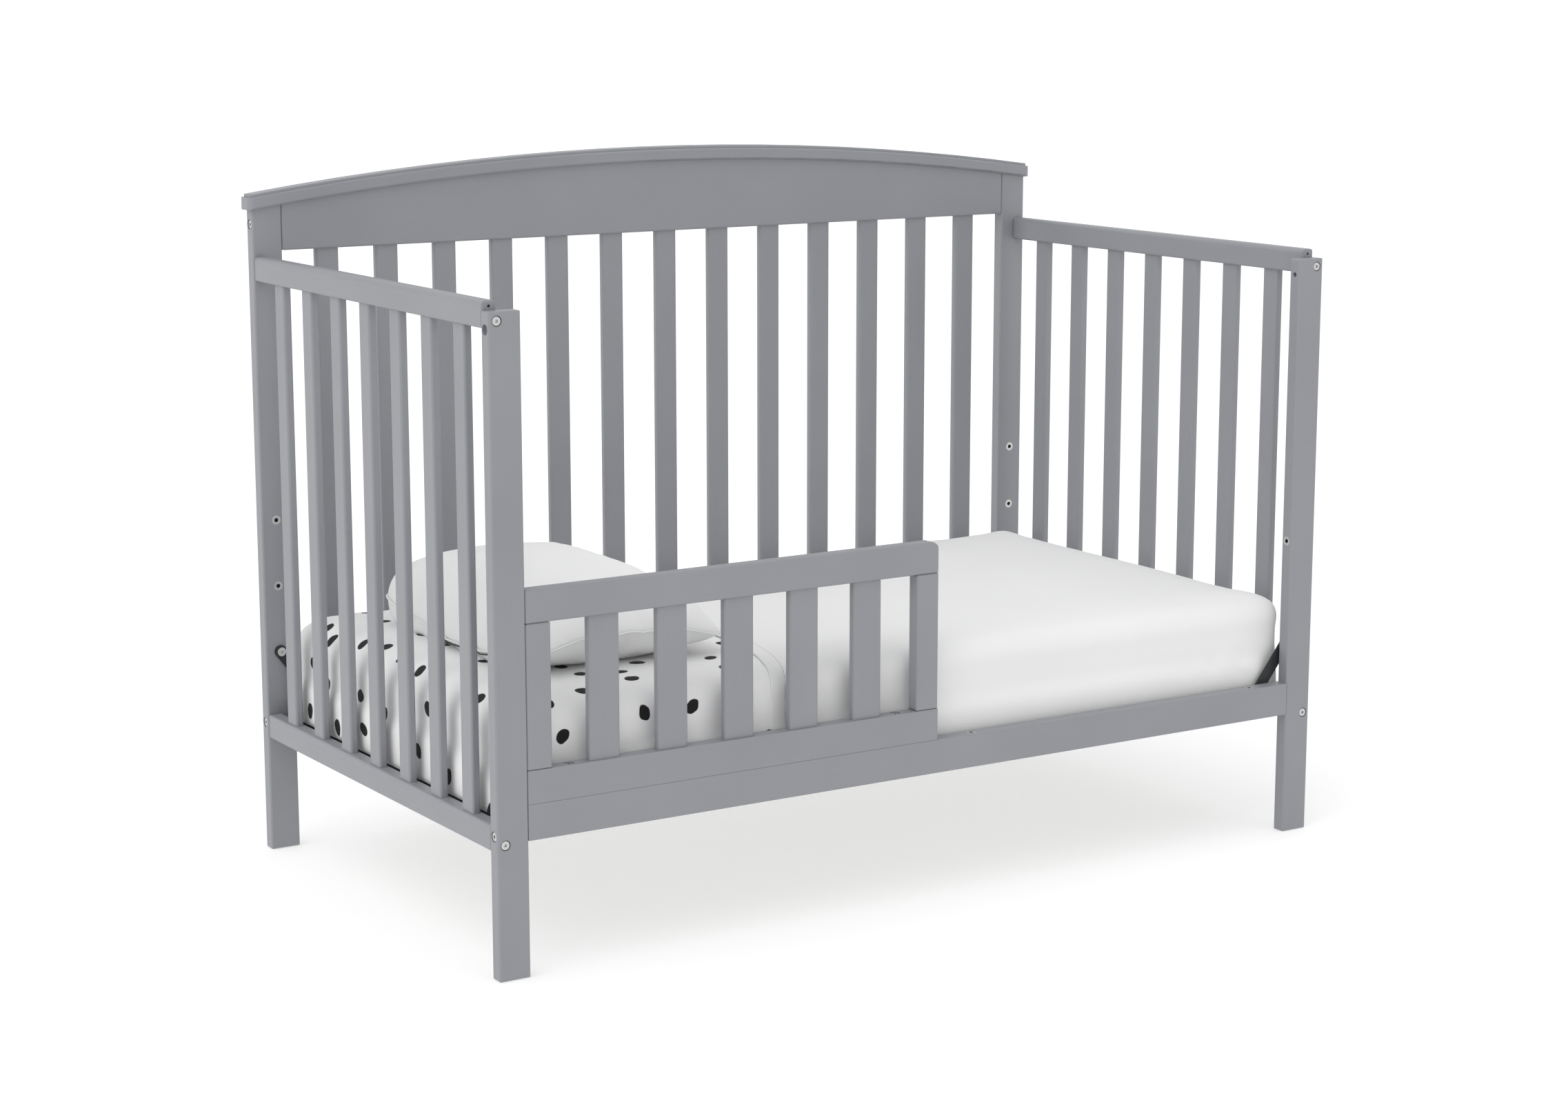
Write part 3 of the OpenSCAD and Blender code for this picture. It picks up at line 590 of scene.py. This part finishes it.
def lay_out(piece, rest, half):
    """Gives each face its place on the flat cloth that it was cut from, in metres, seamed up the corners."""
    down = arc_down(rest, half)
    uv = piece.data.uv_layers.new(name="cut").data
    for face in piece.data.polygons:
        middle = rest[list(face.vertices)].mean(axis=0)
        past = np.abs(middle[:2]) - half[:2]
        way = 0 if past[0] > past[1] else 1
        for loop, vertex in zip(face.loop_indices, face.vertices):
            at = rest[vertex][:2].copy()
            flat = half[way] - top_round(rest[vertex][0])
            if abs(at[way]) > flat - 1e-6:
                at[way] = math.copysign(flat + down[vertex], at[way])
            uv[loop].uv = at


def keep_faces(piece, wanted):
    """Removes the faces that wanted says no to, given each face's middle, and the points that nothing uses."""
    cut = bmesh.new()
    cut.from_mesh(piece.data)
    gone = [f for f in cut.faces if not wanted(f.calc_center_median())]
    bmesh.ops.delete(cut, geom=gone, context="FACES")
    cut.to_mesh(piece.data)
    cut.free()


def subdivide_once(piece):
    finer = piece.modifiers.new("finer", "SUBSURF")
    finer.levels = finer.render_levels = 1


def thicken(piece, thickness):
    """The cloth's own thickness, inwards."""
    solid = piece.modifiers.new("thickness", "SOLIDIFY")
    solid.thickness = thickness
    solid.offset = -1.0


def corner_folds(rest, half):
    """Shallow folds that pull from each top corner down to the foot of the mattress."""
    inner = np.clip(rest[:, :2], HEAD_EDGE_R - half[:2], half[:2] - HEAD_EDGE_R)
    out = rest[:, :2] - inner
    angle = np.arctan2(np.abs(out[:, 1]), np.abs(out[:, 0]))
    at_corner = fade(np.minimum(np.abs(out[:, 0]), np.abs(out[:, 1])), 0.0, 14 * MM)
    low = fade(-rest[:, 2], -half[2] * 0.7, half[2])
    return np.sin(angle * 26 + rest[:, 2] / (30 * MM)) * at_corner * (0.35 + 0.65 * low)


def hanging_folds(rest, half):
    """Slack folds, about 45 mm apart, that run down the sheet's sides and soften towards the top."""
    on_end = np.abs(rest[:, 0]) - half[0] > np.abs(rest[:, 1]) - half[1]
    along = np.where(on_end, rest[:, 1], rest[:, 0] + 3)
    stretched = np.column_stack([along / 0.045, rest[:, 2] / 0.30, on_end * 5.0])
    wander = cloud(rest, 0.20, 6) * 0.6
    stretched[:, 0] += wander
    return cloud(stretched, 1.0, 7) * fade(half[2] - rest[:, 2], 8 * MM, 60 * MM)


def hem_puckers(rest, half):
    """The gathers that the elastic in a fitted sheet's hem draws into its lower edge."""
    along = np.where(np.abs(rest[:, 0]) - half[0] > np.abs(rest[:, 1]) - half[1], rest[:, 1], rest[:, 0])
    low = fade(-rest[:, 2], half[2] * 0.1, half[2])
    swing = cloud(rest, 0.16, 4)
    return np.sin(along / (7.0 * MM) + 5 * swing) * low * (0.5 + 0.5 * cloud(rest, 0.1, 5))


def make_mattress(form):
    """The mattress itself, in its ticking, just inside the sheet."""
    points, faces = form[:2]
    core = mesh_object("mattress_core", points + np.array(mattress_mid), faces)
    set_points(core, points_of(core) - normals_of(core) * 1.2 * MM)
    low = points_of(core)
    low[:, 2] = np.maximum(low[:, 2], mattress_low.z)
    set_points(core, low)
    smooth(core)
    core.data.materials.append(mattress_ticking())
    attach(core, "mattress")
    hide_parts("mattress")


def make_fitted_sheet(form):
    """The dotted sheet, stretched over the mattress and turned under its edges."""
    points, faces, rest, half = form
    sheet = mesh_object("fitted_sheet_cloth", points + np.array(mattress_mid), faces)
    lift = SHEET_LIFT + corner_folds(rest, half) * CORNER_FOLD + hem_puckers(rest, half) * HEM_PUCKER
    side = fade(half[2] - np.abs(rest[:, 2]), 0, 30 * MM)
    lift += side * cloud(rest, 0.12, 2) * 0.9 * MM + np.abs(cloud(rest, 0.3, 3)) * 0.5 * MM
    lift += (hanging_folds(rest, half) * HANGING_FOLD + 0.8 * MM) * (np.abs(rest[:, 2]) < half[2])
    lift = np.maximum(lift, 0.2 * MM)
    # the coverlet presses it flat
    covered = fade(rest[:, 0] + mattress_mid.x, coverlet_low.x - 55 * MM, coverlet_low.x + 5 * MM)
    lift += (PRESSED_LIFT - lift) * covered
    spread = points_of(sheet) + normals_of(sheet) * lift[:, None]
    spread[:, 2] = np.maximum(spread[:, 2], mattress_low.z - 0.25 * MM)
    spread[:, 0] = np.clip(spread[:, 0], mattress_low.x - 4.5 * MM, mattress_high.x + 1.6 * MM)
    # at both ends the hem hangs just past the mattress's foot, outside the steel frame
    hanging = (fade(np.abs(rest[:, 0]), half[0] - 4 * MM, half[0] - 1 * MM)
               * fade(half[1] - np.abs(rest[:, 1]), 4 * MM, 30 * MM)
               * fade(-rest[:, 2], half[2] - 4 * MM, half[2]))
    spread[:, 2] -= HEM_DROP * hanging
    clear = mattress_half[0] + 1.4 * MM
    pushed_out = np.copysign(np.maximum(np.abs(spread[:, 0]), clear), spread[:, 0])
    spread[:, 0] = np.where(hanging > 0, pushed_out, spread[:, 0])
    set_points(sheet, spread)
    lay_out(sheet, rest, half)
    turned = mattress_half[1] - HEM_TURN

    def wanted(middle):
        at = middle - mattress_mid
        in_hem = abs(at.y) > turned and abs(at.x) < mattress_half[0] - 12 * MM
        return at.z > 2 * MM - mattress_half[2] or in_hem

    keep_faces(sheet, wanted)
    smooth(sheet)
    subdivide_once(sheet)
    thicken(sheet, SHEET_THICK)
    sheet.data.materials.append(dotted_jersey())
    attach(sheet, "mattress")
    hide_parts("fitted_sheet")


def coverlet_drift(y):
    """How far the coverlet's edge runs off square, towards the head, near the open front."""
    front = np.clip((mattress_mid.y - y - 80 * MM) / (270 * MM), 0, 1)
    return 6 * MM - 41 * MM * front ** 2


def make_coverlet(form):
    """The white cover over the foot end, tucked in at three sides, with a turned and stitched edge."""
    points, faces, rest, half = form
    cover = mesh_object("coverlet_cloth", points + np.array(mattress_mid), faces)
    place = points_of(cover)
    edge = coverlet_low.x
    top = fade(rest[:, 2], half[2] - 40 * MM, half[2])
    from_edge = np.maximum(place[:, 0] - edge - coverlet_drift(place[:, 1]), 0)
    loft = (1.6 + 3.0 * top * fade(from_edge, 0, 0.25)) * MM
    sag = cloud(rest, 0.26, 8) * 1.0 * MM * top + cloud(rest, 0.10, 9) * 0.35 * MM
    lift = np.maximum(COVERLET_LIFT + loft + sag + corner_folds(rest, half) * 0.6 * MM, COVERLET_LIFT)
    room = np.where(top > 0.01, 1.0, 0.62)
    place = place + normals_of(cover) * (lift * room)[:, None]
    place[:, 0] = np.minimum(place[:, 0], coverlet_high.x + 0.9 * MM)
    place[:, 1] = np.clip(place[:, 1], coverlet_low.y - 0.6 * MM, coverlet_high.y + 0.6 * MM)
    set_points(cover, place)
    cut = bmesh.new()
    cut.from_mesh(cover.data)
    for v in cut.verts:
        v.co.x -= coverlet_drift(v.co.y)
    tuck = mattress_low.z + COVERLET_TUCK
    for point, way in (((edge, 0, 0), (1, 0, 0)), ((0, 0, tuck), (0, 0, 1))):
        bmesh.ops.bisect_plane(cut, geom=cut.verts[:] + cut.edges[:] + cut.faces[:], plane_co=point,
                               plane_no=way, clear_inner=True)
    for v in cut.verts:
        v.co.x += coverlet_drift(v.co.y)
    uv = cut.loops.layers.uv.new("cut")
    for face in cut.faces:
        for loop in face.loops:
            at = loop.vert.co
            loop[uv].uv = (at.x - edge - coverlet_drift(at.y), at.y)
    cut.to_mesh(cover.data)
    cut.free()
    smooth(cover)
    subdivide_once(cover)
    thicken(cover, COVERLET_THICK)
    cover.data.materials.append(stitched_percale())
    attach(cover, "mattress")
    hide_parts("coverlet")


def stitched_percale():
    """Bleached cotton percale, hemmed on a machine. The eye gets soft white, and along the hem a line of
    stitches whose groove is painted shade: a grey line, darker in dashes, not geometry."""
    material, tree, shader = new_material("stitched_percale")
    place = add(tree, "ShaderNodeTexCoord").outputs["Object"]
    flat = add(tree, "ShaderNodeUVMap", uv_map="cut").outputs["UV"]
    at = add(tree, "ShaderNodeSeparateXYZ", {"Vector": flat}).outputs
    # painted shade: the stitched groove along the hem is not in the geometry, so a grey line (B8B8B8), darker
    # in 5 mm dashes, is painted there instead
    off_line = add(tree, "ShaderNodeMath", {0: at["X"], 1: HEM_STITCH}, operation="SUBTRACT").outputs[0]
    off_line = add(tree, "ShaderNodeMath", {0: off_line}, operation="ABSOLUTE").outputs[0]
    groove = add(tree, "ShaderNodeMapRange", {"Value": off_line, "From Min": 0.0, "From Max": 1.3 * MM,
                                              "To Min": 1.0, "To Max": 0.0}).outputs["Result"]
    # stitches are 2.5 mm long and drawn 5 mm long
    stitch = add(tree, "ShaderNodeMath", {0: at["Y"], 1: math.tau / (5 * MM)}, operation="MULTIPLY").outputs[0]
    stitch = add(tree, "ShaderNodeMath", {0: stitch}, operation="SINE").outputs[0]
    stitch = add(tree, "ShaderNodeMapRange", {"Value": stitch, "From Min": -0.2, "From Max": 0.2,
                                              "To Min": 0.35, "To Max": 1.0}).outputs["Result"]
    painted_groove_shade = add(tree, "ShaderNodeMath", {0: groove, 1: stitch}, operation="MULTIPLY").outputs[0]
    cloudy = add(tree, "ShaderNodeTexNoise", {"Vector": place, "Scale": 5.0, "Detail": 3.0}).outputs["Fac"]
    cloth = add(tree, "ShaderNodeMix", {"Factor": cloudy, "A": linear("E4E4E4"), "B": linear("E9E9E9")},
                data_type="RGBA").outputs["Result"]
    colour = add(tree, "ShaderNodeMix", {"Factor": painted_groove_shade, "A": cloth, "B": linear("B8B8B8")},
                 data_type="RGBA").outputs["Result"]
    cotton_shader(tree, shader, colour, 110 * MM, 1.5 * MM)
    return material


def bag_grid(width, length, step):
    """Two layers of cloth, joined all round and a little apart in the middle: points, faces, and the numbers of
    the points on the seam, on its head side, and just under that side."""
    nx, ny = round(width / step), round(length / step)
    points, faces, index = [], [], {}
    for layer in (0, 1):
        for i in range(nx + 1):
            for j in range(ny + 1):
                rim = i in (0, nx) or j in (0, ny)
                key = (0 if rim else layer, i, j)
                if key not in index:
                    index[key] = len(points)
                    u, v = 2 * i / nx - 1, 2 * j / ny - 1
                    cut = PILLOW_CORNER * (HEAD_CORNERS if u < 0 else FOOT_CORNERS)
                    u, v = u * (1 - cut * v ** 8), v * (1 - cut * u ** 8)
                    x, y = width * u / 2, length * v / 2
                    bulge = math.sin(math.pi * i / nx) * math.sin(math.pi * j / ny)
                    points.append((x, y, (2 * layer - 1) * bulge * PILLOW_START))
        for i in range(nx):
            for j in range(ny):
                ring = []
                for di, dj in ((0, 0), (1, 0), (1, 1), (0, 1)):
                    a, b = i + di, j + dj
                    rim = a in (0, nx) or b in (0, ny)
                    ring.append(index[(0 if rim else layer, a, b)])
                faces.append(ring if layer else ring[::-1])
    # the head side's seam, from the back to the front, and the row of points under it
    head_side, under_it = [[index[(0, i, j)] for j in range(ny - 1, 0, -1)] for i in (0, 1)]
    rim = ([index[(0, i, 0)] for i in range(nx + 1)] + [index[(0, nx, j)] for j in range(1, ny + 1)]
           + [index[(0, i, ny)] for i in range(nx - 1, -1, -1)] + head_side)
    return points, faces, rim, head_side, under_it


def make_pillow():
    """A small pillow in a plain white case: sewn from two flat pieces, filled, and laid on the mattress."""
    points, faces, rim, head_side, under_it = bag_grid(*PILLOW_BAG, PILLOW_STEP)
    case = mesh_object("pillow_case", points, faces)
    swell(case, **PILLOW_SWELL)
    grown = points_of(case)
    # soft filling packs out the sides that air alone would pull in between the corners
    grown[:, :2] += (np.array(points)[:, :2] - grown[:, :2]) * PILLOW_PACKED_SIDES
    grown -= (grown.max(axis=0) + grown.min(axis=0)) / 2
    size = grown.max(axis=0) - grown.min(axis=0)
    grown[:, :2] *= np.array(pillow_size)[:2] / size[:2]
    # the top keeps its crown, and the underside spreads flat on the bed
    seam = pillow_size.z * PILLOW_SEAM_SHARE
    top = pillow_size.z - seam
    # the filling has shifted into the corner by the left back post
    packed = fade(grown[:, 1], 0.02, 0.22) * fade(-grown[:, 0], -0.03, 0.14)
    up = (np.maximum(grown[:, 2], 0) / (size[2] / 2)) ** (PILLOW_FULLNESS - PACKED_FULLER * packed)
    down = np.maximum(-grown[:, 2], 0) / (size[2] / 2)
    flat = 1 - (1 - np.clip(down, 0, 1)) ** 2.6
    grown[:, 2] = up * top - flat * seam
    # the loose corners droop
    tip = fade(np.abs(grown[:, 0] * grown[:, 1]) * 4 / (pillow_size.x * pillow_size.y), 0.45, 1.0)
    grown[:, 2] -= tip * (1 - packed) * PILLOW_DROOP
    # at the head side the seam sinks almost to the bed
    sag = PILLOW_HEAD_SAG * fade(-grown[:, 0], 0.05, 0.15) * fade(grown[:, 1], -0.22, -0.08)
    grown[:, 2] = np.maximum(grown[:, 2] - sag * np.clip(1 - up, 0, 1) ** 2, -seam)
    grown[rim, 2] = np.maximum(grown[rim, 2], 6 * MM - seam)
    lean = cloud(grown, 0.25, 11) * PILLOW_LEAN
    grown[:, 2] = np.where(up > 0, grown[:, 2] + lean * np.minimum(up * 3, 1), grown[:, 2])
    grown += np.array([pillow_mid.x, pillow_mid.y, pillow_low.z + seam])
    set_points(case, grown)
    smooth(case)
    subdivide_once(case)
    case.data.materials.append(white_percale("pillow_percale", "F0F0F0", "EBEBEB", 60 * MM, 1.6 * MM))
    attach(case, "pillow")
    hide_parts("pillow")
    make_welt(grown[rim])
    make_zip(grown[head_side], grown[under_it])


def thread_curve(name, line, radius, smoothness):
    """A round thread or cord along a line of points."""
    curve = bpy.data.curves.new(name, "CURVE")
    curve.dimensions = "3D"
    curve.bevel_depth = radius
    curve.bevel_resolution = smoothness
    spline = curve.splines.new("POLY")
    spline.points.add(len(line) - 1)
    for point, at in zip(spline.points, line):
        point.co = (*at, 1.0)
    return put_in_scene(name, curve)


def make_welt(line):
    """The pillow's sewn edge: a narrow raised welt that follows the seam all round."""
    outward = (line - line.mean(axis=0)) * np.array([1, 1, 0])
    outward /= np.maximum(np.linalg.norm(outward, axis=1, keepdims=True), 1e-9)
    welt = thread_curve("pillow_welt", line + outward * 0.4 * MM, WELT_R, 3)
    welt.data.splines[0].use_cyclic_u = True
    welt.data.materials.append(white_percale("welt_percale", "ECECEC", "E4E4E4", 20 * MM, 0.4 * MM))
    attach(welt, "pillow")


def black_nylon(name, pitch):
    """Black nylon, drawn and coiled, or moulded. The eye gets a near-black satin thread, ribbed pitch apart,
    with a painted highlight that makes each rib's crest lighter.
    """
    material, tree, shader = new_material(name)
    place = add(tree, "ShaderNodeTexCoord").outputs["Object"]
    along = add(tree, "ShaderNodeSeparateXYZ", {"Vector": place}).outputs["Y"]
    turn = add(tree, "ShaderNodeMath", {0: along, 1: math.tau / pitch}, operation="MULTIPLY").outputs[0]
    teeth = add(tree, "ShaderNodeMath", {0: turn}, operation="SINE").outputs[0]
    # painted highlight: the black goes lighter towards each rib's crest, standing in for light catching the
    # ribs
    painted_rib_highlight = add(tree, "ShaderNodeMapRange", {"Value": teeth, "From Min": -1.0,
                                             "From Max": 1.0}).outputs["Result"]
    colour = add(tree, "ShaderNodeMix", {"Factor": painted_rib_highlight, "A": linear("0C0C0D"), "B": linear("1E1F21")},
                 data_type="RGBA").outputs["Result"]
    tree.links.new(colour, shader.inputs["Base Color"])
    bump = add(tree, "ShaderNodeBump", {"Height": teeth, "Strength": 0.4, "Distance": 0.3 * MM})
    tree.links.new(bump.outputs["Normal"], shader.inputs["Normal"])
    shader.inputs["Roughness"].default_value = 0.45
    shader.inputs["IOR"].default_value = 1.53
    return material


def make_zip(seam, under):
    """The pillow case's thin black zip, in the underside just below the seam, with a small pull on it."""
    share = np.linspace(0, 1, len(seam))
    line = seam + (under - seam) * ZIP_BELOW_SEAM + ZIP_OUT

    def at(where):
        return np.array([np.interp(where, share, line[:, axis]) for axis in range(3)])

    coil = thread_curve("pillow_zip", [at(where) for where in np.linspace(*ZIP_ENDS, 60)], ZIP_R, 2)
    coil.data.use_fill_caps = True
    coil.data.materials.append(black_nylon("nylon_zip_coil", 1.6 * MM))
    pull = make_zip_pull(*[at(where) - np.array([0, 0, 1.2 * MM]) for where in ZIP_PULL])
    for piece in (coil, pull):
        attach(piece, "pillow")


def make_zip_pull(start, end):
    """A rounded tab 11 mm long, wider at its free end, that lies along the zip from start towards end."""
    run = (end - start) / np.linalg.norm(end - start)
    out = np.cross(run, (0, 0, 1.0))
    out *= math.copysign(1, -out[0]) / np.linalg.norm(out)
    up = np.cross(run, out)
    tab = bmesh.new()
    sides = 12
    last = None
    # how far along the tab each ring lies, and its half width, in mm
    for along, wide in ((0.0, 1.2), (1.5, 1.6), (6.0, 1.8), (9.5, 2.0), (11.0, 1.7)):
        ring = []
        for side in range(sides):
            angle = math.tau * side / sides
            spot = (start + run * along * MM + up * math.cos(angle) * wide * MM
                    + out * (2.4 + math.sin(angle) * 0.9) * MM)
            ring.append(tab.verts.new(spot))
        if last is None:
            tab.faces.new(ring)
        else:
            for k in range(sides):
                tab.faces.new((last[k], last[k - 1], ring[k - 1], ring[k]))
        last = ring
    tab.faces.new(last[::-1])
    bmesh.ops.recalc_face_normals(tab, faces=tab.faces[:])
    mesh = bpy.data.meshes.new("pillow_zip_pull")
    tab.to_mesh(mesh)
    tab.free()
    pull = put_in_scene("pillow_zip_pull", mesh)
    smooth(pull)
    pull.data.materials.append(black_nylon("nylon_zip_pull", 5 * MM))
    return pull


make_camera()
make_studio()
cover_carried_over_parts()
form = mattress_form()
make_mattress(form)
make_fitted_sheet(form)
make_coverlet(form)
make_pillow()
